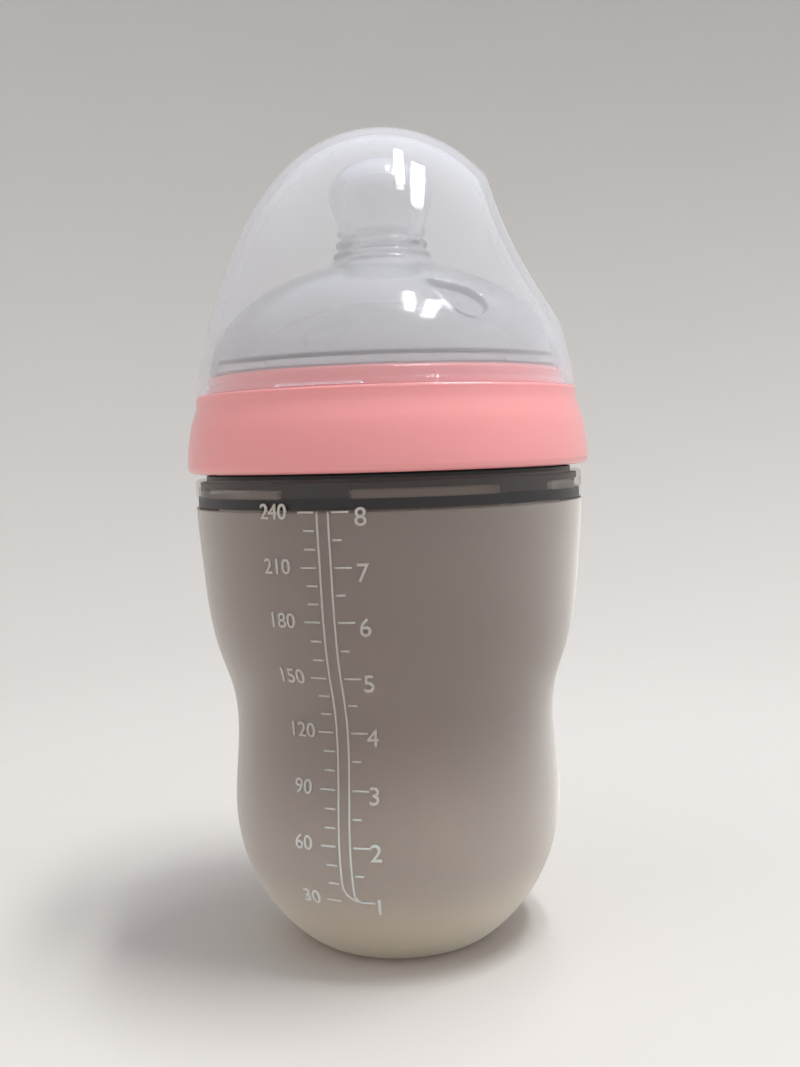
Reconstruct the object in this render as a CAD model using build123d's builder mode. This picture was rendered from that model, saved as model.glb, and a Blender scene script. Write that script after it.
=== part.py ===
"""Soft silicone baby bottle, 8 oz size: a squeezable pouch with a threaded collar moulded into its
mouth, a screw ring that holds the nipple, and a clear dome cap over it.

Frame: millimetres, +Z up along the bottle's axis, origin at the centre of the base, and -Y is the
front. The moulded volume scale is a little to the left of the front.
"""

from math import asin, atan2, cos, degrees, radians, sin
import os

from build123d import *

os.makedirs("parts", exist_ok=True)

# ------------------------------------------------------------------ driving dimensions
# Pouch. Outlines are (radius, height) pairs.
wall = 2.4
bowl_radius = 33.3  # round lower end
bowl_centre = (-1.1, 26.7)
grip = [(31.25, 41.0), (32.1, 50.5), (34.0, 56.4), (35.5, 62.6), (36.85, 75.5)]  # waist and shoulder
mouth_radius, mouth_height = 37.5, 86.0
pouch_top = 90.4
lip_round = 0.7
base_round = 3.0
recess_radius, recess_depth = 12.0, 0.6  # shallow dish under the base

# Collar, moulded into the mouth of the pouch
collar_bore, neck_radius, neck_top = 31.0, 33.4, 104.4
step_radius, step_top = 35.4, 91.0  # dark step that shows in the gap under the ring
flange_radius, flange_bottom, flange_top = 36.6, 88.7, 89.8
band_radius, band_bottom, band_top = 37.1, 85.3, 87.1
lining_radius = 33.2  # silicone inside the collar's skirt
window_count, window_angle, first_window = 6, 40.0, 10.0  # degrees to the right of the front

# Screw thread between the collar and the ring
thread_lead = 5.2
thread_depth = 1.5
ridge_foot, ridge_crest = 1.7, 0.8  # widths of a ridge along the axis
flank_gap = 0.15
collar_thread_start, collar_thread_turns = 95.0, 1.5
ring_thread_turns = 1.25

# Screw ring
ring_bottom, ring_bore = 91.4, 35.8
ring_corner = 1.35
ring_skirt = [(38.5, 97.2), (37.7, 101.2), (36.75, 105.2)]
ring_ledge, ring_ledge_bottom = 106.0, 104.6
shoulder_radius, ring_top = 34.2, 109.5
pocket_radius, lip_bottom, lip_radius = 33.1, 106.7, 31.0

# Nipple
fit_gap = 0.15  # between the nipple's groove and the ring's lip
nipple_wall, teat_wall = 2.0, 1.6
mound_radius, mound_height, mound_base = 34.0, 21.5, 109.5
mound_end = 13.0  # radius where the mound turns up into the teat
teat_outline = [(8.7, 132.6), (8.1, 137.0), (9.9, 145.0)]
teat_top = 151.4
ribs, rib_size = [(8.6, 132.2), (8.0, 134.5), (7.7, 136.9)], 0.9
flow_hole_radius, flow_hole_circle, flow_holes = 0.3, 1.5, 3
vent_angle, vent_height, vent_tilt = 27.4, 121.8, 39.0  # tilt from the line of fall
vent_length, vent_width, vent_depth, vent_point = 11.5, 7.4, 1.1, 0.8
slit_length, slit_width = 4.0, 0.3

# Dome cap
cap_wall = 1.4
cap_rim, cap_rim_radius, cap_top = 106.1, 36.7, 156.2
cap_side = [(34.3, 117.6), (30.0, 130.6), (23.4, 142.9), (15.4, 151.2), (7.5, 155.1)]
scoop_radius, scoop_centre, scoop_turn = 54.0, (74.0, 154.1), 5.4  # thumb scoop on the right
bead_radius, bead_height, bead_size = 34.4, 107.9, 0.9
notch_centre, notch_angle, notch_height = -18.5, 25.5, 0.6

# Volume scale: raised marks on the outside of the pouch, angles to the right of the front
relief = 0.25
line_width = 0.4
scale_angle, millilitre_angle, ounce_angle = -17.5, -32.0, -7.5
scale_rules = (-1.0, 1.0)  # places of the two upright lines beside the scale's centre line
tick_gap, short_tick, long_tick = 0.6, 2.0, 2.9
half_ounce_tick, ounce_tick = 1.6, 3.0
millilitre_figures, ounce_figures = 2.7, 3.2  # heights
ounce_digit_drop = 1.0
ounce_heights = [15.4, 25.9, 35.9, 46.1, 56.2, 66.2, 75.6, 85.0]
ticks_per_ounce, ounce_volume = 3, 30  # ticks of 10 millilitres
rule_bend = 2.5  # radius where the rules curl into the lowest tick
# strokes of each figure in a box 2 wide and 4 high: straight lines, an open curve or a closed loop
figure_strokes = {
    "0": [("loop", [(1, 0), (2, 2), (1, 4), (0, 2)])],
    "1": [("lines", [(0.4, 3.1), (1.2, 4), (1.2, 0)])],
    "2": [("curve", [(0, 3.1), (1, 4), (1.9, 3), (1.2, 1.5), (0, 0)]), ("lines", [(0, 0), (2, 0)])],
    "3": [
        ("curve", [(0, 3.5), (1, 4), (1.8, 3.1), (0.7, 2.2)]),
        ("curve", [(0.7, 2.2), (2, 1.2), (1, 0), (0, 0.5)]),
    ],
    "4": [("lines", [(1.5, 0), (1.5, 4), (0, 1.2)]), ("lines", [(0, 1.2), (2.1, 1.2)])],
    "5": [
        ("lines", [(1.8, 4), (0.3, 4), (0.1, 2.2)]),
        ("curve", [(0.1, 2.2), (1.2, 2.5), (2, 1.3), (1, 0), (0, 0.4)]),
    ],
    "6": [
        ("curve", [(1.7, 3.8), (0.5, 2.9), (0, 1.2)]),
        ("loop", [(1, 0), (2, 1.2), (1, 2.4), (0, 1.2)]),
    ],
    "7": [("lines", [(0, 4), (2, 4), (0.7, 0)])],
    "8": [
        ("loop", [(1, 2.15), (1.8, 3.1), (1, 4), (0.2, 3.1)]),
        ("loop", [(1, 0), (2, 1.1), (1, 2.15), (0, 1.1)]),
    ],
    "9": [
        ("curve", [(0.3, 0.2), (1.5, 1.1), (2, 2.8)]),
        ("loop", [(1, 1.6), (2, 2.8), (1, 4), (0, 2.8)]),
    ],
}


# ------------------------------------------------------------------ helpers
def front_plane(angle):
    """Upright plane through the axis that faces outwards at an angle from the front."""
    turn = radians(angle)
    return Plane(origin=(0, 0, 0), x_dir=(cos(turn), sin(turn), 0), z_dir=(sin(turn), -cos(turn), 0))


def side_plane(angle):
    """Half plane for a profile, with x outwards at an angle from the front and y up."""
    turn = radians(angle)
    return Plane(origin=(0, 0, 0), x_dir=(sin(turn), -cos(turn), 0), z_dir=(-cos(turn), -sin(turn), 0))


def draw_pouch_side(inset, end_radius):
    """The pouch's outline moved inwards by inset, from the base arc up to the mouth."""
    arc_radius = bowl_radius - inset
    start = -degrees(asin((bowl_centre[1] - inset) / arc_radius))
    bowl = CenterArc(bowl_centre, arc_radius, start, -start)
    points = [bowl @ 1, *[(r - inset, z) for r, z in grip], (end_radius, mouth_height)]
    side = Spline(*points, tangents=[(0, 1), (0, 1)])
    return bowl, side


def draw_pouch_outline(inset, end_radius, top):
    """Closed half outline of the pouch or of its cavity, against the axis."""
    bowl, side = draw_pouch_side(inset, end_radius)
    Polyline(bowl @ 0, (0, (bowl @ 0).Y), (0, top), ((side @ 1).X, top), side @ 1)


def helical_ridge(root_radius, crest_radius, start_height, turns):
    """A trapezoidal thread ridge that stands on root_radius and reaches crest_radius."""
    path = Helix(thread_lead, thread_lead * turns, root_radius, center=(0, 0, start_height))
    depth = crest_radius - root_radius
    slope = (ridge_foot - ridge_crest) / 2 / abs(depth)
    bury = 0.2 * depth  # the ridge's foot reaches into the wall it stands on
    foot = ridge_foot / 2 + slope * abs(bury)
    with BuildPart() as ridge:
        with BuildSketch(Plane(origin=path @ 0, x_dir=(1, 0, 0), z_dir=path % 0)):
            with BuildLine():
                crest = ridge_crest / 2
                Polyline((-bury, -foot), (depth, -crest), (depth, crest), (-bury, foot), close=True)
            make_face()
        sweep(path=path, is_frenet=True)
    return ridge.part


def draw_tick(along, up, length):
    """A short level mark that starts at (along, up) and runs right, or left if length is negative."""
    with Locations((along + length / 2, up)):
        Rectangle(abs(length), line_width)


def draw_number(number, middle, height):
    """Round-cornered figures in single strokes, centred on the plane's upright axis."""
    unit = height / 4
    step = 2.9 * unit
    left = -(len(str(number)) - 1) * step / 2 - unit
    for place, digit in enumerate(str(number)):
        for kind, points in figure_strokes[digit]:
            path = [(left + place * step + x * unit, middle + (y - 2) * unit) for x, y in points]
            with BuildLine() as stroke:
                if kind == "lines":
                    Polyline(*path)
                else:
                    Spline(*path, periodic=kind == "loop")
            trace(stroke.line, line_width=line_width)


# ------------------------------------------------------------------ neck_collar
collar_crest = neck_radius + thread_depth
collar_thread = helical_ridge(neck_radius, collar_crest, collar_thread_start, collar_thread_turns)

with BuildPart() as neck_collar:
    with BuildSketch(Plane.XZ):
        with BuildLine():
            Polyline(
                (collar_bore, flange_bottom),
                (step_radius, flange_bottom),
                (step_radius, band_bottom),
                (band_radius, band_bottom),
                (band_radius, band_top),
                (flange_radius, band_top),
                (flange_radius, flange_top),
                (step_radius, flange_top),
                (step_radius, step_top),
                (neck_radius, step_top),
                (neck_radius, neck_top),
                (collar_bore, neck_top),
                close=True,
            )
        make_face()
    revolve(axis=Axis.Z)
    add(collar_thread)
    circles = neck_collar.edges().filter_by(GeomType.CIRCLE)
    fillet(circles.filter_by_position(Axis.Z, neck_top, neck_top), radius=0.4)
    # windows in the skirt, which the silicone fills and grips
    for window in range(window_count):
        start = first_window + window * 360 / window_count - window_angle / 2
        with BuildSketch(side_plane(start)):
            with Locations((step_radius, (band_top + flange_bottom) / 2)):
                Rectangle(2 * (band_radius - step_radius) + 1, flange_bottom - band_top)
        revolve(axis=Axis.Z, revolution_arc=window_angle, mode=Mode.SUBTRACT)
neck_collar.part.label = "neck_collar"

# ------------------------------------------------------------------ bottle_body
# upright rules of the scale, curling to the right into the lowest tick
with BuildSketch(front_plane(scale_angle)) as rules:
    for place in scale_rules:
        bend = rule_bend - place
        with BuildLine() as rule:
            upright = Line((place, ounce_heights[-1]), (place, ounce_heights[0] + bend))
            curl = CenterArc((place + bend, ounce_heights[0] + bend), bend, 180, 90)
            Line(curl @ 1, (scale_rules[1] + tick_gap + ounce_tick, ounce_heights[0]))
        trace(rule.line, line_width=line_width)
mark_sketches = [(scale_angle, rules.sketch)]

# ounce ticks right of the rules with half-ounce ticks between, and their numbers
for ounce, height in enumerate(ounce_heights, start=1):
    with BuildSketch(front_plane(scale_angle)) as ticks:
        right = scale_rules[1] + tick_gap
        left = scale_rules[0] - tick_gap
        if ounce > 1:
            draw_tick(right, height, ounce_tick)
        draw_tick(left, height, -long_tick)
        if ounce < len(ounce_heights):
            rise = ounce_heights[ounce] - height
            draw_tick(right, height + rise / 2, half_ounce_tick)
            for tick in range(1, ticks_per_ounce):
                draw_tick(left, height + rise * tick / ticks_per_ounce, -short_tick)
    mark_sketches.append((scale_angle, ticks.sketch))
    with BuildSketch(front_plane(ounce_angle)) as number:
        draw_number(ounce, height - ounce_digit_drop, ounce_figures)
    mark_sketches.append((ounce_angle, number.sketch))
    with BuildSketch(front_plane(millilitre_angle)) as number:
        draw_number(ounce * ounce_volume, height, millilitre_figures)
    mark_sketches.append((millilitre_angle, number.sketch))

# thin skin over the pouch that limits how far the marks stand out
with BuildPart() as mark_skin:
    with BuildSketch(Plane.XZ):
        with BuildLine():
            draw_pouch_outline(-relief, mouth_radius + relief, pouch_top)
        make_face()
    revolve(axis=Axis.Z)
    with BuildSketch(Plane.XZ):
        with BuildLine():
            draw_pouch_outline(2 * relief, mouth_radius - 2 * relief, pouch_top)
        make_face()
    revolve(axis=Axis.Z, mode=Mode.SUBTRACT)

raised_marks = []
for angle, sketch in mark_sketches:
    raised_marks.append(mark_skin.part & extrude(sketch, 2 * mouth_radius, dir=front_plane(angle).z_dir))

with BuildPart() as bottle_body:
    with BuildSketch(Plane.XZ) as outline:
        with BuildLine():
            draw_pouch_outline(0, mouth_radius, pouch_top)
        make_face()
        fillet(outline.vertices().group_by(Axis.Y)[0].sort_by(Axis.X)[-1], radius=base_round)
        fillet(outline.vertices().group_by(Axis.Y)[-1].sort_by(Axis.X)[-1], radius=lip_round)
    revolve(axis=Axis.Z)
    with BuildSketch(Plane.XZ):
        with BuildLine():
            draw_pouch_outline(wall, lining_radius, pouch_top)
        make_face()
    revolve(axis=Axis.Z, mode=Mode.SUBTRACT)
    with BuildSketch(Plane.XZ):  # the mouth above the collar's flange, and the dish under the base
        with Locations((0, flange_bottom)):
            Rectangle(step_radius, pouch_top - flange_bottom, align=Align.MIN)
        Rectangle(recess_radius, recess_depth, align=Align.MIN)
    revolve(axis=Axis.Z, mode=Mode.SUBTRACT)
    add(raised_marks)
    add(neck_collar.part, mode=Mode.SUBTRACT)
bottle_body.part.label = "bottle_body"

# ------------------------------------------------------------------ screw_ring
# the ring's ridge lies under the collar's ridge, a flank gap away
ridge_mesh = collar_crest - (ring_bore - thread_depth)
flank_slope = (ridge_foot - ridge_crest) / 2 / thread_depth
ridge_drop = ridge_crest + flank_slope * ridge_mesh + flank_gap
ring_thread = helical_ridge(
    ring_bore, ring_bore - thread_depth, collar_thread_start - ridge_drop, ring_thread_turns
)

with BuildPart() as screw_ring:
    with BuildSketch(Plane.XZ):
        with BuildLine():
            corner_centre = (ring_skirt[0][0] + 0.35 - ring_corner, ring_bottom + ring_corner)
            corner = CenterArc(corner_centre, ring_corner, -90, 90)
            skirt = Spline(corner @ 1, *ring_skirt, tangents=[(0, 1), (0, 1)])
            Polyline(
                skirt @ 1,
                (ring_skirt[-1][0], ring_ledge),
                (shoulder_radius, ring_ledge),
                (shoulder_radius, ring_top),
                (lip_radius, ring_top),
                (lip_radius, lip_bottom),
                (pocket_radius, lip_bottom),
                (pocket_radius, ring_ledge_bottom),
                (ring_bore, ring_ledge_bottom),
                (ring_bore, ring_bottom),
                corner @ 0,
            )
        make_face()
    revolve(axis=Axis.Z)
    circles = screw_ring.edges().filter_by(GeomType.CIRCLE)
    fillet(circles.filter_by_position(Axis.Z, ring_top, ring_top), radius=0.6)
    ledge_edges = circles.filter_by_position(Axis.Z, ring_ledge, ring_ledge).sort_by(SortBy.RADIUS)
    fillet(ledge_edges[-1], radius=0.5)
    add(ring_thread)
screw_ring.part.label = "screw_ring"

# ------------------------------------------------------------------ nipple
def draw_nipple_outline(inset, teat_inset, base_height):
    """Half outline of the mound and teat moved inwards, from the mound's foot to the tip."""
    across, up = mound_radius - inset, mound_height - inset
    start = degrees(asin((base_height - mound_base) / up))
    end = degrees(atan2((1 - ((mound_end - inset) / across) ** 2) ** 0.5, (mound_end - inset) / across))
    mound = EllipticalCenterArc((0, mound_base), across, up, start_angle=start, arc_size=end - start)
    points = [(r - teat_inset, z) for r, z in teat_outline]
    teat = Spline(mound @ 1, *points, (0, teat_top - teat_inset), tangents=[mound % 1, (-1, 0)])
    return mound, teat


groove_radius = lip_radius - fit_gap
nipple_bottom = neck_top + 0.1
flange_height = lip_bottom - fit_gap
mound_foot = ring_top + fit_gap

with BuildPart() as nipple:
    with BuildSketch(Plane.XZ):
        with BuildLine():
            mound, teat = draw_nipple_outline(0, 0, mound_foot)
            Polyline(
                teat @ 1,
                (0, nipple_bottom),
                (pocket_radius - fit_gap, nipple_bottom),
                (pocket_radius - fit_gap, flange_height),
                (groove_radius, flange_height),
                (groove_radius, mound_foot),
                mound @ 0,
            )
        make_face()
        for radius, height in ribs:  # soft rings round the teat's neck
            with Locations((radius, height)):
                Circle(rib_size)
    revolve(axis=Axis.Z)
    inner_foot = mound_foot + nipple_wall
    with BuildSketch(Plane.XZ):
        with BuildLine():
            mound, teat = draw_nipple_outline(nipple_wall, teat_wall, inner_foot)
            Polyline(
                teat @ 1,
                (0, nipple_bottom),
                (groove_radius - nipple_wall, nipple_bottom),
                (groove_radius - nipple_wall, inner_foot),
                mound @ 0,
            )
        make_face()
    revolve(axis=Axis.Z, mode=Mode.SUBTRACT)
    with BuildSketch(Plane.XY.offset(teat_top - 3 * teat_wall)):
        with PolarLocations(flow_hole_circle, flow_holes, start_angle=90):
            Circle(flow_hole_radius)
    extrude(amount=4 * teat_wall, mode=Mode.SUBTRACT)
    # two drop-shaped air vents on opposite sides: a recess with a slit through its thin floor
    for half_turn in (0, 180):
        rise = vent_height - mound_base
        radius = mound_radius * (1 - (rise / mound_height) ** 2) ** 0.5
        turn = radians(vent_angle + half_turn)
        outward = Vector(sin(turn), -cos(turn), 0)
        centre = radius * outward + Vector(0, 0, vent_height)
        normal = radius / mound_radius**2 * outward + Vector(0, 0, rise / mound_height**2)
        across = Vector(cos(turn), sin(turn), 0)
        vent_plane = Plane(origin=centre, x_dir=across, z_dir=normal).rotated((0, 0, vent_tilt))
        round_end = vent_width / 2
        with BuildSketch(vent_plane):
            with Locations((0, round_end - vent_length / 2)):
                Circle(round_end)
            with Locations((0, vent_length / 2 - vent_point)):
                Circle(vent_point)
            make_hull()
        extrude(amount=-vent_depth, mode=Mode.SUBTRACT)
        with BuildSketch(vent_plane):
            Rectangle(slit_width, slit_length)
        extrude(amount=-2 * nipple_wall, mode=Mode.SUBTRACT)
nipple.part.label = "nipple"

# ------------------------------------------------------------------ dome_cap
def draw_cap_outline(inset):
    """Closed half outline of the dome moved inwards by inset along its own normal."""
    points = [(cap_rim_radius, cap_rim), *cap_side, (0, cap_top)]
    dome = Spline(*points, tangents=[(-0.12, 1), (-1, 0)], mode=Mode.PRIVATE)
    moved = []
    for step in range(9):
        point, along = dome @ (step / 8), dome % (step / 8)
        moved.append((point.X - inset * along.Y, point.Y + inset * along.X))
    moved[0] = (moved[0][0], cap_rim)
    curve = Spline(*moved, tangents=[dome % 0, dome % 1])
    Polyline(curve @ 1, (0, cap_rim), curve @ 0)


def scoop_cutter(radius):
    """Level round bar, across the cap's right side, that hollows the thumb scoop."""
    with BuildPart() as bar:
        with BuildSketch(front_plane(-scoop_turn)):
            with Locations(scoop_centre):
                Circle(radius)
        extrude(amount=2 * mouth_radius, both=True)
    return bar.part


outer_scoop, inner_scoop = scoop_cutter(scoop_radius), scoop_cutter(scoop_radius + cap_wall)

with BuildPart() as cap_hollow:
    with BuildSketch(Plane.XZ):
        with BuildLine():
            draw_cap_outline(cap_wall)
        make_face()
    revolve(axis=Axis.Z)
    add(inner_scoop, mode=Mode.SUBTRACT)

with BuildPart() as dome_cap:
    with BuildSketch(Plane.XZ):
        with BuildLine():
            draw_cap_outline(0)
        make_face()
    revolve(axis=Axis.Z)
    add(outer_scoop, mode=Mode.SUBTRACT)
    add(cap_hollow.part, mode=Mode.SUBTRACT)
    with BuildSketch(Plane.XZ):  # holding bead inside the rim
        with Locations((bead_radius + bead_size, bead_height)):
            Circle(bead_size)
    revolve(axis=Axis.Z)
    with BuildSketch(side_plane(notch_centre - notch_angle / 2)):  # low place in the rim to lift it by
        with Locations((mouth_radius - 3 * cap_wall, cap_rim)):
            Rectangle(4 * cap_wall, notch_height, align=Align.MIN)
    revolve(axis=Axis.Z, revolution_arc=notch_angle, mode=Mode.SUBTRACT)
dome_cap.part.label = "dome_cap"

# ------------------------------------------------------------------ write the pieces
for piece in (bottle_body, neck_collar, nipple, screw_ring, dome_cap):
    export_step(piece.part, f"parts/{piece.part.label}.step")
    print(piece.part.label, len(piece.part.solids()), round(piece.part.volume), piece.part.is_valid)
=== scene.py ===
"""Soft silicone baby bottle with a dark moulded-in collar, pink screw ring, clear nipple and dome cap."""

from math import asin, cos, degrees, pi, radians, sin, sqrt

import bmesh
import bpy
import numpy as np
from mathutils import Matrix, Quaternion, Vector


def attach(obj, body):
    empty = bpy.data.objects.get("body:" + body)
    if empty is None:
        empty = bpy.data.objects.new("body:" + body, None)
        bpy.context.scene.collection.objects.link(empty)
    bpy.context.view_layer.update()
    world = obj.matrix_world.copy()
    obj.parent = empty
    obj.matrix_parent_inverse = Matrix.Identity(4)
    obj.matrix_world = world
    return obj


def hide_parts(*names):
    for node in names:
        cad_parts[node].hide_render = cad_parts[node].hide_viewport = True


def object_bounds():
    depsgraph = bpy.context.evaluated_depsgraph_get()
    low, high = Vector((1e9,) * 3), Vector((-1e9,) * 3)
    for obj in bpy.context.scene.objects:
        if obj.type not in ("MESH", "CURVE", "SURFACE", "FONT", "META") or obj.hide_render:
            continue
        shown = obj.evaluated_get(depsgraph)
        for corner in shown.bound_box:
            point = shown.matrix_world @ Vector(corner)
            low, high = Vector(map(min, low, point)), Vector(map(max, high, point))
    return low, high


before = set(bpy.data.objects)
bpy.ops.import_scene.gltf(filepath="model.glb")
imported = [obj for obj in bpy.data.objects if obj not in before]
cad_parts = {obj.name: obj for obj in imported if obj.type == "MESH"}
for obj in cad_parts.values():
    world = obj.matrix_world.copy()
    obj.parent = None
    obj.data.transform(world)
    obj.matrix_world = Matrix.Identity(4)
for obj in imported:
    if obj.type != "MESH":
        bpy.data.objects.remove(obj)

cad_low, cad_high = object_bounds()
MM = 0.001
SAME_PLACE = 1e-7  # vertices closer than this, in metres, are one

# ---------------------------------------------------------------- studio
# A pale seamless tabletop whose far edges sweep up into walls, so that no horizon shows from any
# side. It is painted board, lit by two high window panes that the clear pieces mirror, two broad
# soft boxes that they don't mirror, and a pale sky.


class Finish:
    """A material and its Principled shader, with nodes added from Python expressions."""

    def __init__(self, name, **constants):
        self.material = bpy.data.materials.new(name)
        self.material.use_nodes = True
        self.tree = self.material.node_tree
        self.shader = self.tree.nodes["Principled BSDF"]
        for socket, value in constants.items():
            self.shader.inputs[socket.replace("_", " ")].default_value = value

    def node(self, kind, settings=None, inputs=None, output=0):
        """Any node: its settings first, then the values or links of its sockets."""
        made = self.tree.nodes.new("ShaderNode" + kind)
        for setting, value in (settings or {}).items():
            setattr(made, setting, value)
        for socket, value in (inputs or {}).items():
            if isinstance(value, Signal):
                self.tree.links.new(value.socket, made.inputs[socket])
            else:
                made.inputs[socket].default_value = value
        return Signal(self, made.outputs[output])

    def feed(self, socket, signal):
        """Leads a signal into one of the shader's own sockets."""
        self.tree.links.new(signal.socket, self.shader.inputs[socket])

    def place(self, scale=(1, 1, 1)):
        """Position on the piece, stretched along its axes."""
        spot = self.node("TexCoord", output=3)
        return self.node("Mapping", inputs={"Vector": spot, "Scale": scale})

    def height(self):
        """Height above the table, in metres."""
        return self.node("SeparateXYZ", inputs={"Vector": self.place()}, output=2)

    def radius(self):
        """Distance from the bottle's axis, in metres."""
        flat = self.place(scale=(1, 1, 0))
        return self.node("VectorMath", {"operation": "LENGTH"}, {0: flat}, output=1)

    def noise(self, scale, detail=3.0, stretch=(1, 1, 1), roughness=0.5):
        """Cloudy variation from 0 to 1, scale in patches per metre."""
        inputs = {"Vector": self.place(stretch), "Scale": scale, "Detail": detail, "Roughness": roughness}
        return self.node("TexNoise", inputs=inputs)

    def step(self, signal, low, high, start=0.0, end=1.0):
        """Smooth step of a signal between low and high."""
        inputs = {"Value": signal, "From Min": low, "From Max": high, "To Min": start, "To Max": end}
        return self.node("MapRange", {"interpolation_type": "SMOOTHSTEP"}, inputs)

    def mix(self, share, first, second):
        """Colour between two colours or signals."""
        inputs = {0: share, 6: first, 7: second}
        return self.node("Mix", {"data_type": "RGBA"}, inputs, output=2)

    def bump(self, height, strength, distance):
        """Surface relief from a height signal, into the shader's normal."""
        inputs = {"Height": height, "Strength": strength, "Distance": distance}
        self.feed("Normal", self.node("Bump", inputs=inputs))


class Signal:
    """A value inside a Finish that takes part in Python arithmetic."""

    def __init__(self, finish, socket):
        self.finish = finish
        self.socket = socket

    def output(self, number):
        """Another output of the same node."""
        return Signal(self.finish, self.socket.node.outputs[number])

    def math(self, operation, first, second):
        return self.finish.node("Math", {"operation": operation}, {0: first, 1: second})

    def __add__(self, other):
        return self.math("ADD", self, other)

    __radd__ = __add__

    def __mul__(self, other):
        return self.math("MULTIPLY", self, other)

    __rmul__ = __mul__

    def __sub__(self, other):
        return self.math("SUBTRACT", self, other)

    def __rsub__(self, other):
        return self.math("SUBTRACT", other, self)

    def __pow__(self, other):
        return self.math("POWER", self, other)


def spin_outline(name, outline, segments):
    """A piece of revolution from a closed or axis-to-axis outline of (radius, height) in millimetres."""
    mesh = bmesh.new()
    corners = [mesh.verts.new((r * MM, 0, z * MM)) for r, z in outline]
    pairs = list(zip(corners, corners[1:]))
    if outline[0][0] > 0 or outline[-1][0] > 0:
        pairs.append((corners[-1], corners[0]))
    edges = [mesh.edges.new(pair) for pair in pairs]
    bmesh.ops.spin(
        mesh, geom=corners + edges, cent=(0, 0, 0), axis=(0, 0, 1), angle=2 * pi, steps=segments,
        use_merge=True, use_normal_flip=False, use_duplicate=False,
    )
    bmesh.ops.remove_doubles(mesh, verts=mesh.verts, dist=SAME_PLACE)
    bmesh.ops.recalc_face_normals(mesh, faces=mesh.faces)
    return finish_piece(name, mesh)


def finish_piece(name, mesh):
    """A smooth-shaded object at the origin from a finished bmesh."""
    data = bpy.data.meshes.new(name)
    mesh.to_mesh(data)
    mesh.free()
    data.shade_smooth()
    piece = bpy.data.objects.new(name, data)
    bpy.context.scene.collection.objects.link(piece)
    return piece


table_radius, wall_radius, wall_height, sweep_steps = 300, 1500, 1300, 32
reach = wall_radius - table_radius
sweep = [(0, 0), (100, 0), (200, 0), (table_radius, 0)]
for step in range(1, sweep_steps + 1):
    turn = step / sweep_steps * pi / 2
    sweep.append((table_radius + reach * sin(turn), reach * (1 - cos(turn))))
sweep.append((wall_radius, wall_height))
table_mesh = bmesh.new()
sweep_points = [table_mesh.verts.new((r * MM, 0, z * MM)) for r, z in sweep]
sweep_edges = [table_mesh.edges.new(pair) for pair in zip(sweep_points, sweep_points[1:])]
bmesh.ops.spin(
    table_mesh, geom=sweep_points + sweep_edges, cent=(0, 0, 0), axis=(0, 0, 1), angle=2 * pi, steps=96,
    use_merge=True, use_normal_flip=False, use_duplicate=False,
)
bmesh.ops.remove_doubles(table_mesh, verts=table_mesh.verts, dist=1e-6)
bmesh.ops.recalc_face_normals(table_mesh, faces=table_mesh.faces)
table = finish_piece("table", table_mesh)
board = Finish("painted_board", Roughness=0.55)
board.feed("Base Color", board.mix(board.noise(6, 4), (0.56, 0.52, 0.485, 1), (0.585, 0.545, 0.51, 1)))
board.bump(board.noise(900, 2), 0.05, 0.0004)
table.data.materials.append(board.material)

world = bpy.data.worlds.new("pale_sky")
world.use_nodes = True
world.node_tree.nodes["Background"].inputs["Color"].default_value = (0.86, 0.92, 1.0, 1)
world.node_tree.nodes["Background"].inputs["Strength"].default_value = 0.8
bpy.context.scene.world = world
bpy.context.scene.view_settings.view_transform = "Standard"

middle_height = (cad_low.z + cad_high.z) / 2


def soft_box(name, direction, distance, size, power, colour, turn=0, mirrored=True):
    """A soft light that faces the bottle from a direction (azimuth right of the front, elevation).

    Its distance and size are in metres, and it is turned about its own beam, in degrees.
    """
    azimuth, elevation = (radians(angle) for angle in direction)
    away = Vector((sin(azimuth) * cos(elevation), -cos(azimuth) * cos(elevation), sin(elevation)))
    lamp = bpy.data.lights.new(name, "AREA")
    lamp.shape = "RECTANGLE"
    lamp.size, lamp.size_y = size
    lamp.energy = power
    lamp.color = colour
    stand = bpy.data.objects.new(name, lamp)
    stand.location = Vector((0, 0, middle_height)) + away * distance
    facing = away.to_track_quat("Z", "Y") @ Quaternion((0, 0, 1), radians(turn))
    stand.rotation_euler = facing.to_euler()
    stand.visible_glossy = mirrored
    bpy.context.scene.collection.objects.link(stand)


daylight, warm_light, cool_light = (0.93, 0.97, 1), (1, 0.95, 0.9), (0.93, 0.96, 1)
pane_distance, fill_distance = 0.9, 1.15
soft_box("window_left_pane", (97, 80.5), pane_distance, (0.40, 0.06), 3.6, daylight)
soft_box("window_right_pane", (73, 70.5), pane_distance, (0.36, 0.095), 4.8, daylight, turn=22)
soft_box("left_fill", (-70, 28), fill_distance, (1.1, 1.1), 3, warm_light, mirrored=False)
soft_box("right_fill", (75, 22), fill_distance, (1.0, 1.1), 4.5, cool_light, mirrored=False)

# ---------------------------------------------------------------- camera
# Stands in front of the bottle, a little above the ring, and looks slightly down.
lens_view = bpy.data.cameras.new("camera")
lens_view.lens = 38.8
lens_view.sensor_width = 36
lens_view.clip_start = 0.01
camera = bpy.data.objects.new("camera", lens_view)
camera_distance, camera_height = 0.2272, 0.0955
look_right, look_down, lean = 0.48, 4.31, 1.72  # degrees
camera.matrix_world = (
    Matrix.Translation((0, -camera_distance, camera_height))
    @ Matrix.Rotation(radians(-look_right), 4, "Z")
    @ Matrix.Rotation(radians(90 - look_down), 4, "X")
    @ Matrix.Rotation(radians(-lean), 4, "Z")
)
bpy.context.scene.collection.objects.link(camera)
bpy.context.scene.camera = camera

# ---------------------------------------------------------------- pouch
# The squeezable bottle itself: one moulding of see-through, slightly milky silicone, 2.4 mm thick,
# with a waist to hold it by. It is moulded round the collar, whose dark bands show through it, and
# its thick lower end is painted paler as bounce light from the table, and creamy at the base as a
# painted reflection of the table.


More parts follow.
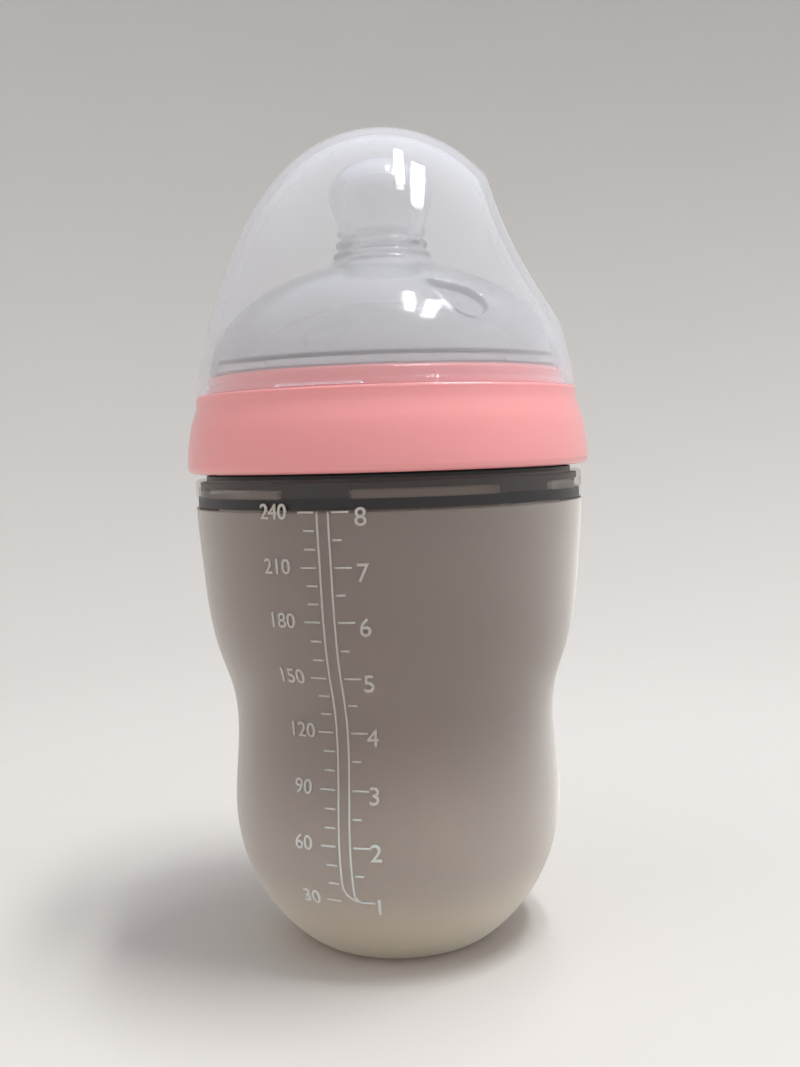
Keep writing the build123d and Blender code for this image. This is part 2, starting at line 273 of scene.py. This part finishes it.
def unit(vector):
    return np.array(vector, float) / np.linalg.norm(vector)


def smooth_curve(points, leave, arrive, count):
    """Evenly spaced points on one curve of even curvature through the given points."""
    knots = np.array(points, float)
    spans = np.linalg.norm(np.diff(knots, axis=0), axis=1)
    system = np.eye(len(knots))
    known = np.zeros_like(knots)
    known[0], known[-1] = unit(leave), unit(arrive)
    for i in range(1, len(knots) - 1):
        before, after = spans[i - 1], spans[i]
        system[i, i - 1 : i + 2] = after, 2 * (before + after), before
        rise_before = (knots[i] - knots[i - 1]) / before
        rise_after = (knots[i + 1] - knots[i]) / after
        known[i] = 3 * (after * rise_before + before * rise_after)
    slopes = np.linalg.solve(system, known)
    reached = np.concatenate([[0], np.cumsum(spans)])
    curve = []
    for along in np.linspace(0, reached[-1], count):
        i = min(np.searchsorted(reached, along, side="right") - 1, len(spans) - 1)
        t, span = (along - reached[i]) / spans[i], spans[i]
        curve.append(
            (1 + 2 * t) * (1 - t) ** 2 * knots[i]
            + t * (1 - t) ** 2 * span * slopes[i]
            + t * t * (3 - 2 * t) * knots[i + 1]
            - t * t * (1 - t) * span * slopes[i + 1]
        )
    return [tuple(point) for point in curve]


def round_arc(centre, radius, start, end, steps):
    """Points along an arc from one angle to another, in degrees."""
    turns = [radians(start + (end - start) * i / steps) for i in range(steps + 1)]
    return [(centre[0] + radius * cos(turn), centre[1] + radius * sin(turn)) for turn in turns]


def rounded(corners, steps=5):
    """Outline through (radius, height, rounding) corners, each turned with an arc."""
    outline = []
    for i, (r, z, rounding) in enumerate(corners):
        corner = complex(r, z)
        if rounding == 0 or i in (0, len(corners) - 1):
            outline.append((r, z))
            continue
        before = complex(*corners[i - 1][:2]) - corner
        after = complex(*corners[i + 1][:2]) - corner
        before, after = before / abs(before), after / abs(after)
        half = abs(np.angle(after / before)) / 2
        middle = corner + (before + after) / abs(before + after) * rounding / sin(half)
        start = corner + before * rounding / np.tan(half) - middle
        swing = np.angle((corner + after * rounding / np.tan(half) - middle) / start)
        for k in range(steps + 1):
            point = middle + start * np.exp(1j * swing * k / steps)
            outline.append((point.real, point.imag))
    return outline


wall = 2.4
bowl_radius, bowl_centre = 33.3, (-1.1, 26.7)
grip = [(31.25, 41.0), (32.1, 50.5), (34.0, 56.4), (35.5, 62.6), (36.85, 75.5)]
mouth_radius, mouth_height, pouch_top = 37.5, 86.0, 90.4
lining_radius, step_radius, flange_bottom = 33.2, 35.4, 88.7
foot_hollow, hollow_radius, foot_radius = 0.6, 12.2, 18.6


def pouch_side(inset, end_radius, start, bowl_steps, side_steps):
    """One face of the pouch from near its base up to the mouth, moved inwards by inset."""
    bowl = round_arc(bowl_centre, bowl_radius - inset, start, 0, bowl_steps)
    points = [bowl[-1], *[(r - inset, z) for r, z in grip], (end_radius, mouth_height)]
    return bowl[:-1] + smooth_curve(points, (0, 1), (0, 1), side_steps)


outer_start = -degrees(asin((bowl_centre[1] - 0.9) / bowl_radius))
outer_side = pouch_side(0, mouth_radius, outer_start, 36, 96)
inner_start = -degrees(asin((bowl_centre[1] - wall - 1.2) / (bowl_radius - wall)))
inner_side = pouch_side(wall, lining_radius, inner_start, 24, 60)
base = rounded(
    [
        (0, foot_hollow, 0),
        (hollow_radius, foot_hollow, 0.5),
        (hollow_radius, 0, 0.5),
        (foot_radius, 0, 2.0),
        (*outer_side[0], 0),
    ]
)
mouth = rounded(
    [
        (*outer_side[-1], 0),
        (mouth_radius, pouch_top, 0.7),
        (step_radius + 0.03, pouch_top, 0.15),
        (step_radius + 0.03, flange_bottom - 0.6, 0.1),
        (lining_radius, flange_bottom - 0.6, 0.3),
        (*inner_side[-1], 0),
    ]
)
floor = rounded([(*inner_side[0], 0), (17.9, wall, 1.5), (0, wall, 0)])
outline = base[:-1] + outer_side + mouth[1:-1] + inner_side[::-1] + floor[1:]
pouch_segments = 224
pouch = spin_outline("silicone_pouch", outline, pouch_segments)

silicone = Finish(
    "milky_silicone",
    Transmission_Weight=0.62,
    IOR=1.41,
    Subsurface_Weight=0.5,
    Subsurface_Radius=(1.0, 0.8, 0.65),
    Subsurface_Scale=0.003,
    Sheen_Weight=0.75,
    Sheen_Roughness=0.5,
    Sheen_Tint=(1.0, 0.96, 0.9, 1),
)
height = silicone.height()
cloud = silicone.noise(28, 4)
handling = silicone.noise(70, 5, stretch=(1, 1, 0.35))
body_colour = silicone.mix(cloud, (0.42, 0.35, 0.315, 1), (0.49, 0.415, 0.375, 1))
# painted light: the lower belly is painted paler as bounce light from the table, and the base creamy as a
# painted reflection of the table
painted_bounce_belly = 1 - silicone.step(height, 0.006, 0.05)
painted_reflection_base = 1 - silicone.step(height, 0.0, 0.02)
colour_with_painted_bounce = silicone.mix(painted_bounce_belly, body_colour, (0.74, 0.675, 0.62, 1))
silicone.feed("Base Color", silicone.mix(painted_reflection_base, colour_with_painted_bounce, (1.0, 0.89, 0.70, 1)))
silicone.feed("Roughness", 0.34 + 0.14 * handling)

# the skin over the collar is clear: most of all over its lowest band, and least over its windows
collar_bottom, collar_face = (0.0846, 0.0852), (0.0343, 0.035)
band_top, window_top = (0.0869, 0.0874), (0.0883, 0.0889)
over_collar = silicone.step(height, *collar_bottom) * silicone.step(silicone.radius(), *collar_face)
over_band = 1 - silicone.step(height, *band_top)
window_pitch, window_half, first_window = radians(60), radians(20), radians(10)
window_edge = 0.01  # radians
place = silicone.node("SeparateXYZ", inputs={"Vector": silicone.place(scale=(1, -1, 1))})
turned = place.math("ARCTAN2", place, place.output(1)) - first_window
from_middle = turned.math("PINGPONG", turned, window_pitch / 2)
between_webs = 1 - silicone.step(from_middle, window_half - window_edge, window_half + window_edge)
window = between_webs * (1 - over_band) * (1 - silicone.step(height, *window_top))
skin_clearness = 0.8 + 0.17 * over_band - 0.3 * window
silicone.feed("Alpha", 1 - skin_clearness * over_collar)
silicone.bump(silicone.noise(1500, 2) + 4 * silicone.noise(60, 2), 0.1, 0.0002)
pouch.data.materials.append(silicone.material)
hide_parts("bottle_body")
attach(pouch, "bottle")

# ---------------------------------------------------------------- volume scale
# Raised lines and figures of the same silicone, moulded with the pouch: ounces to the right of two
# upright rules and millilitres to the left. Their paler colour is a painted highlight, whiter towards
# the base as a painted glint, where the pouch behind them has painted bounce light.
raised_silicone = Finish("raised_silicone", Transmission_Weight=0.3, IOR=1.41, Subsurface_Weight=0.4)
raised_silicone.shader.inputs["Subsurface Scale"].default_value = 0.001
# painted highlight: the marks are painted paler than the pouch, and near white towards the base as a
# painted glint
faint_painted_highlight = raised_silicone.mix(raised_silicone.noise(300, 3), (0.66, 0.61, 0.56, 1), (0.74, 0.69, 0.64, 1))
painted_glint_near_base = 1 - raised_silicone.step(raised_silicone.height(), 0.016, 0.045)
raised_silicone.feed("Base Color", raised_silicone.mix(painted_glint_near_base, faint_painted_highlight, (1.0, 0.99, 0.96, 1)))
raised_silicone.feed("Roughness", 0.3 + 0.2 * raised_silicone.noise(500, 2))

side_heights = [z for r, z in outer_side]
side_radii = [r for r, z in outer_side]
lean_of_side = np.gradient(side_radii, side_heights)


def wrap_on_pouch(mesh, angle):
    """Lays a flat drawing (x along, y up, z out, in mm) on the pouch at an angle from the front."""
    for corner in mesh.vertices:
        along, up, out = corner.co
        radius = np.interp(up, side_heights, side_radii)
        slope = np.interp(up, side_heights, lean_of_side)
        turn = radians(angle) + along / radius
        spread = sqrt(1 + slope * slope)
        radius, up = radius + out / spread, up - out * slope / spread
        corner.co = (radius * sin(turn) * MM, -radius * cos(turn) * MM, up * MM)


def scale_piece(name, drawing, angle):
    """The drawing, a curve or text object, as a mesh on the pouch."""
    bpy.context.view_layer.update()
    data = bpy.data.meshes.new_from_object(drawing.evaluated_get(bpy.context.evaluated_depsgraph_get()))
    data.name = name
    if drawing.type == "FONT":
        data.transform(drawing.matrix_world)
    bpy.data.objects.remove(drawing)
    wrap_on_pouch(data, angle)
    mesh = bmesh.new()
    mesh.from_mesh(data)
    bmesh.ops.remove_doubles(mesh, verts=mesh.verts, dist=SAME_PLACE)
    bmesh.ops.recalc_face_normals(mesh, faces=mesh.faces)
    piece = finish_piece(name, mesh)
    piece.data.materials.clear()
    piece.data.materials.append(raised_silicone.material)
    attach(piece, "bottle")


ounce_heights = [15.4, 25.9, 35.9, 46.1, 56.2, 66.2, 75.6, 85.0]
line_width, relief = 0.4, 0.2
strokes = []
for place in (-1.0, 1.0):
    bend = 2.5 - place
    lowest = ounce_heights[0]
    upright = [(place, z) for z in np.linspace(ounce_heights[-1], lowest + bend, 60)[:-1]]
    curl = round_arc((place + bend, lowest + bend), bend, 180, 270, 8)
    strokes.append(upright + curl + [(4.6, lowest)])
for ounce, height in enumerate(ounce_heights):
    strokes.append([(-1.6, height), (-4.5, height)])
    if ounce > 0:
        strokes.append([(1.6, height), (4.6, height)])
    if ounce + 1 < len(ounce_heights):
        rise = ounce_heights[ounce + 1] - height
        strokes.append([(1.6, height + rise / 2), (3.2, height + rise / 2)])
        for tick in (1, 2):
            strokes.append([(-1.6, height + rise * tick / 3), (-3.6, height + rise * tick / 3)])
lines = bpy.data.curves.new("scale_lines", "CURVE")
lines.dimensions = "3D"
lines.bevel_depth = line_width / 2
lines.bevel_resolution = 3
lines.use_fill_caps = True
for stroke in strokes:
    spline = lines.splines.new("POLY")
    spline.points.add(len(stroke) - 1)
    for point, (x, y) in zip(spline.points, stroke):
        point.co = (x, y, relief - line_width / 2, 1)
drawing = bpy.data.objects.new("scale_lines", lines)
bpy.context.scene.collection.objects.link(drawing)
scale_piece("scale_lines", drawing, -17.5)


def scale_number(name, number, angle, height, size):
    """Raised figures of a given height, centred at an angle and height on the pouch."""
    text = bpy.data.curves.new(name, "FONT")
    text.body = str(number)
    text.size = size / 0.72
    text.align_x, text.align_y = "CENTER", "CENTER"
    text.extrude = relief - 0.05
    text.bevel_depth = 0.04
    text.bevel_resolution = 1
    text.resolution_u = 6
    drawing = bpy.data.objects.new(name, text)
    drawing.location = (0, height, 0)
    bpy.context.scene.collection.objects.link(drawing)
    scale_piece(name, drawing, angle)


for ounce, height in enumerate(ounce_heights, start=1):
    scale_number(f"ounce_figure_{ounce}", ounce, -7.5, height - 1.0, 3.2)
    scale_number(f"millilitre_figure_{30 * ounce}", 30 * ounce, -32.0, height, 2.7)

# ---------------------------------------------------------------- neck collar
# Hard dark plastic, injection moulded, locked in the pouch's mouth by its buried band and windows.
# Its neck carries the outside thread.
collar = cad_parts["neck_collar"]
dark_plastic = Finish("dark_collar_plastic", IOR=1.49)
cloud = dark_plastic.noise(90, 4)
dark_plastic.feed("Base Color", dark_plastic.mix(cloud, (0.010, 0.010, 0.012, 1), (0.018, 0.017, 0.019, 1)))
dark_plastic.feed("Roughness", 0.34 + 0.14 * dark_plastic.noise(160, 4))
dark_plastic.bump(dark_plastic.noise(2600, 3), 0.25, 0.0001)
collar.data.materials.clear()
collar.data.materials.append(dark_plastic.material)

# ---------------------------------------------------------------- nipple
# Clear, glossy silicone: a wide mound like a breast with a ribbed neck and a round teat. A groove
# in its foot holds the ring's lip. Each air vent is a drop-shaped recess; the slit in its floor is not
# modelled.
mound_radius, mound_height, mound_base, mound_end = 34.0, 21.5, 109.5, 13.0
nipple_wall, teat_wall = 2.0, 1.6
teat_outline = [(8.7, 132.6), (8.1, 137.0), (9.9, 145.0)]
teat_top = 151.4
ribs, rib_size = [(8.6, 132.2), (8.0, 134.5), (7.7, 136.9)], 0.9


def nipple_face(inset, teat_inset, foot, mound_steps, teat_steps):
    """The outer or inner face of the mound and teat, from the mound's foot to the axis."""
    across, up = mound_radius - inset, mound_height - inset
    start, end = asin((foot - mound_base) / up), pi / 2 - asin((mound_end - inset) / across)
    mound = []
    for i in range(mound_steps):
        turn = start + (end - start) * i / mound_steps
        mound.append((across * cos(turn), mound_base + up * sin(turn)))
    joint = (across * cos(end), mound_base + up * sin(end))
    points = [joint, *[(r - teat_inset, z) for r, z in teat_outline], (0, teat_top - teat_inset)]
    return mound + smooth_curve(points, (-across * sin(end), up * cos(end)), (-1, 0), teat_steps)


foot, pocket_radius, groove_radius = 109.65, 33.1, 30.85
nipple_bottom, flange_height = 104.5, 106.55
outer_face = nipple_face(0, 0, foot, 90, 90)
for i, (r, z) in enumerate(outer_face):
    for rib_radius, rib_height in ribs:
        rise = max(0.0, 1 - ((z - rib_height) / rib_size) ** 2)
        if 3 < r < 14 and rise > 0:
            outer_face[i] = (max(outer_face[i][0], rib_radius + rib_size * sqrt(rise)), z)
inner_face = nipple_face(nipple_wall, teat_wall, foot + nipple_wall, 40, 44)
hem = rounded(
    [
        (*inner_face[0], 0),
        (groove_radius - nipple_wall, foot + nipple_wall, 0.6),
        (groove_radius - nipple_wall, nipple_bottom, 0.4),
        (pocket_radius - 0.15, nipple_bottom, 0.4),
        (pocket_radius - 0.15, flange_height, 0.4),
        (groove_radius, flange_height, 0.3),
        (groove_radius, foot, 0.3),
        (*outer_face[0], 0.4),
        (*outer_face[4], 0),
    ]
)
nipple_segments = 256
nipple = spin_outline("clear_nipple", inner_face[::-1] + hem[1:-1] + outer_face[4:], nipple_segments)

vent_angle, vent_height, vent_tilt = 27.4, 121.8, 39.0
vent_length, vent_width, vent_depth, vent_point = 11.5, 7.4, 1.1, 0.8


def read_points(piece):
    """The piece's vertices in millimetres."""
    points = np.empty(3 * len(piece.data.vertices))
    piece.data.vertices.foreach_get("co", points)
    return points.reshape(-1, 3) / MM


def write_points(piece, points):
    piece.data.vertices.foreach_set("co", (points * MM).ravel())
    piece.data.update()


def drop_distance(across, along):
    """How far points are outside a drop whose round end is down and point up, negative inside."""
    round_end = vent_width / 2
    low, high = round_end - vent_length / 2, vent_length / 2 - vent_point
    narrowing = (round_end - vent_point) / (high - low)
    flank = sqrt(1 - narrowing * narrowing)
    across = abs(across)
    lift = flank * (along - low) - narrowing * across
    beside = flank * across + narrowing * (along - low) - round_end
    at_round_end = np.hypot(across, along - low) - round_end
    at_point = np.hypot(across, along - high) - vent_point
    return np.where(lift < 0, at_round_end, np.where(lift > flank * (high - low), at_point, beside))


vent_rise = vent_height - mound_base
vent_radius = mound_radius * sqrt(1 - (vent_rise / mound_height) ** 2)
vent_centres = []
for half_turn in (0, 180):
    turn = radians(vent_angle + half_turn)
    vent_centres.append(Vector((vent_radius * sin(turn), -vent_radius * cos(turn), vent_height)))

# a finer mesh round the vents
finer = bmesh.new()
finer.from_mesh(nipple.data)
near_vents = [
    edge
    for edge in finer.edges
    if any((corner.co / MM - centre).length < 8 for corner in edge.verts for centre in vent_centres)
]
bmesh.ops.subdivide_edges(finer, edges=near_vents, cuts=2, use_grid_fill=True)
finer.to_mesh(nipple.data)
finer.free()

points = read_points(nipple)
for centre, half_turn in zip(vent_centres, (0, 180)):
    turn, tilt = radians(vent_angle + half_turn), radians(vent_tilt)
    level = (np.hypot(points[:, 0], points[:, 1]) / mound_radius) ** 2
    level += ((points[:, 2] - mound_base) / mound_height) ** 2
    near = (np.linalg.norm(points - np.array(centre), axis=1) < 9) & (level > 0.97)
    patch = points[near]
    true_radius = mound_radius * np.sqrt(1 - ((patch[:, 2] - mound_base) / mound_height) ** 2)
    patch[:, :2] *= (true_radius / np.hypot(patch[:, 0], patch[:, 1]))[:, None]
    out = Vector((centre.x, centre.y, vent_rise * (mound_radius / mound_height) ** 2)).normalized()
    level_way = Vector((cos(turn), sin(turn), 0))
    uphill = out.cross(level_way)
    right = level_way * cos(tilt) + uphill * sin(tilt)
    up = uphill * cos(tilt) - level_way * sin(tilt)
    offset = patch - np.array(centre)
    outside = drop_distance(offset @ np.array(right), offset @ np.array(up))
    bed = np.clip(0.5 - outside / 0.5, 0, 1)
    raised_edge = np.exp(-(((outside - 0.6) / 0.35) ** 2))
    rise = 0.18 * raised_edge - vent_depth * bed * bed * (3 - 2 * bed)
    points[near] = patch + rise[:, None] * np.array(out)
write_points(nipple, points)

clear_silicone = Finish(
    "clear_silicone",
    Transmission_Weight=0.82,
    IOR=1.41,
    Subsurface_Weight=0.3,
    Subsurface_Radius=(1.0, 0.9, 0.85),
    Subsurface_Scale=0.003,
)
haze = clear_silicone.noise(40, 3)
clear_silicone.feed("Base Color", clear_silicone.mix(haze, (0.91, 0.90, 0.92, 1), (0.95, 0.945, 0.96, 1)))
clear_silicone.feed("Roughness", 0.07 + 0.07 * clear_silicone.noise(120, 4))
clear_silicone.bump(clear_silicone.noise(220, 3), 0.06, 0.0004)
nipple.data.materials.append(clear_silicone.material)
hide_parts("nipple")
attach(nipple, "teat")

# ---------------------------------------------------------------- screw ring
# Pink polypropylene, injection moulded, satin outside. It screws onto the collar and its lip holds
# the nipple by the groove.
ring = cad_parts["screw_ring"]
pink_plastic = Finish(
    "pink_polypropylene",
    IOR=1.49,
    Subsurface_Weight=0.2,
    Subsurface_Radius=(1.0, 0.4, 0.35),
    Subsurface_Scale=0.002,
    Coat_Weight=0.4,
    Coat_Roughness=0.16,
)
cloud = pink_plastic.noise(50, 4)
pink_plastic.feed("Base Color", pink_plastic.mix(cloud, (0.84, 0.325, 0.325, 1), (0.86, 0.345, 0.345, 1)))
rub = pink_plastic.step(pink_plastic.noise(240, 5, stretch=(1, 1, 4)), 0.55, 0.8)
pink_plastic.feed("Roughness", 0.3 + 0.08 * rub)
pink_plastic.bump(pink_plastic.noise(2500, 2), 0.01, 0.0001)
ring.data.materials.clear()
ring.data.materials.append(pink_plastic.material)

# ---------------------------------------------------------------- dome cap
# Clear polypropylene, slightly hazy, 1.4 mm thick, and denser to the eye where it is seen edge on.
# It is pushed over the ring's shoulder and has a hollow on its right side for the thumb and a
# raised place in its rim to lift it by.
cap_wall, cap_rim, cap_top = 1.4, 106.1, 156.2
cap_rim_radius = 36.7
cap_side = [(34.3, 117.6), (30.0, 130.6), (23.4, 142.9), (15.4, 151.2), (7.5, 155.1)]
dome_points = [(cap_rim_radius, cap_rim), *cap_side, (0, cap_top)]
dome_outer = smooth_curve(dome_points, (-0.12, 1), (-1, 0), 190)
slope_along = np.gradient(np.array(dome_outer), axis=0)
dome_inner = []
for (r, z), (dr, dz) in zip(dome_outer[::2], slope_along[::2]):
    size = sqrt(dr * dr + dz * dz)
    dome_inner.append((r - cap_wall * dz / size, z + cap_wall * dr / size))
dome_inner[-1] = (0, cap_top - cap_wall)
bead_height, bead_radius, bead_size = 107.9, 34.4, 0.9
dome_inner = [(r, z) for r, z in dome_inner if z > bead_height + 1.1]
bead = round_arc((bead_radius + bead_size, bead_height), bead_size, 240, 120, 8)
rim = rounded(
    [
        (bead[0][0], bead[0][1] - 0.1, 0),
        (35.2, cap_rim, 0.25),
        (cap_rim_radius, cap_rim, 0.35),
        (*dome_outer[2], 0),
    ]
)
cap_outline = dome_inner[::-1] + bead[::-1] + rim[1:-1] + dome_outer[2:]
cap_segments = 320
cap = spin_outline("dome_cap_shell", cap_outline, cap_segments)

scoop_radius, scoop_centre, scoop_turn = 54.0, (74.0, 154.1), radians(5.4)
scoop_side = np.array((cos(scoop_turn), -sin(scoop_turn), 0))
edge_softness, edge_bead = 0.25, 0.1
notch_centre, notch_angle, notch_height = radians(-18.5), radians(25.5), 0.6
points = read_points(cap)
radius, height = np.hypot(points[:, 0], points[:, 1]), points[:, 2]
outer_radius = np.interp(height, [z for r, z in dome_outer], [r for r, z in dome_outer])
inner = radius < outer_radius - cap_wall / 2
reach = scoop_radius + cap_wall * inner
rise = np.clip(height - scoop_centre[1], -reach, reach)
beyond = points @ scoop_side - (scoop_centre[0] - np.sqrt(reach**2 - rise**2))
sunk = 0.5 * (beyond + np.hypot(beyond, edge_softness))
sunk -= edge_bead * np.exp(-((beyond / 0.6) ** 2)) * ~inner
sunk *= (beyond > -3) & (abs(rise) < reach)
turn = np.arctan2(points[:, 0], -points[:, 1]) - notch_centre
lifted = (height < cap_rim + 0.05) & (abs(turn) < notch_angle / 2)
points -= sunk[:, None] * scoop_side
points[:, 2] += notch_height * lifted
write_points(cap, points)

clear_plastic = Finish(
    "clear_polypropylene",
    IOR=2.0,
    Subsurface_Weight=0.3,
    Subsurface_Radius=(1.0, 1.0, 1.0),
    Subsurface_Scale=0.002,
)
mist = clear_plastic.noise(24, 3)
clear_plastic.feed("Base Color", clear_plastic.mix(mist, (0.80, 0.80, 0.86, 1), (0.88, 0.88, 0.93, 1)))
scuff = clear_plastic.step(clear_plastic.noise(420, 6, stretch=(1, 1, 0.12)), 0.6, 0.8)
clear_plastic.feed("Roughness", 0.04 + 0.1 * scuff)
face_on_density, edge_on_density = 0.10, 0.42
edge_on = clear_plastic.node("LayerWeight", inputs={"Blend": 0.5}, output=1)
clear_plastic.feed("Alpha", face_on_density + edge_on_density * edge_on**2.5)
clear_plastic.bump(clear_plastic.noise(45, 2), 0.12, 0.0006)
cap.data.materials.append(clear_plastic.material)
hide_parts("dome_cap")
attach(cap, "cap")
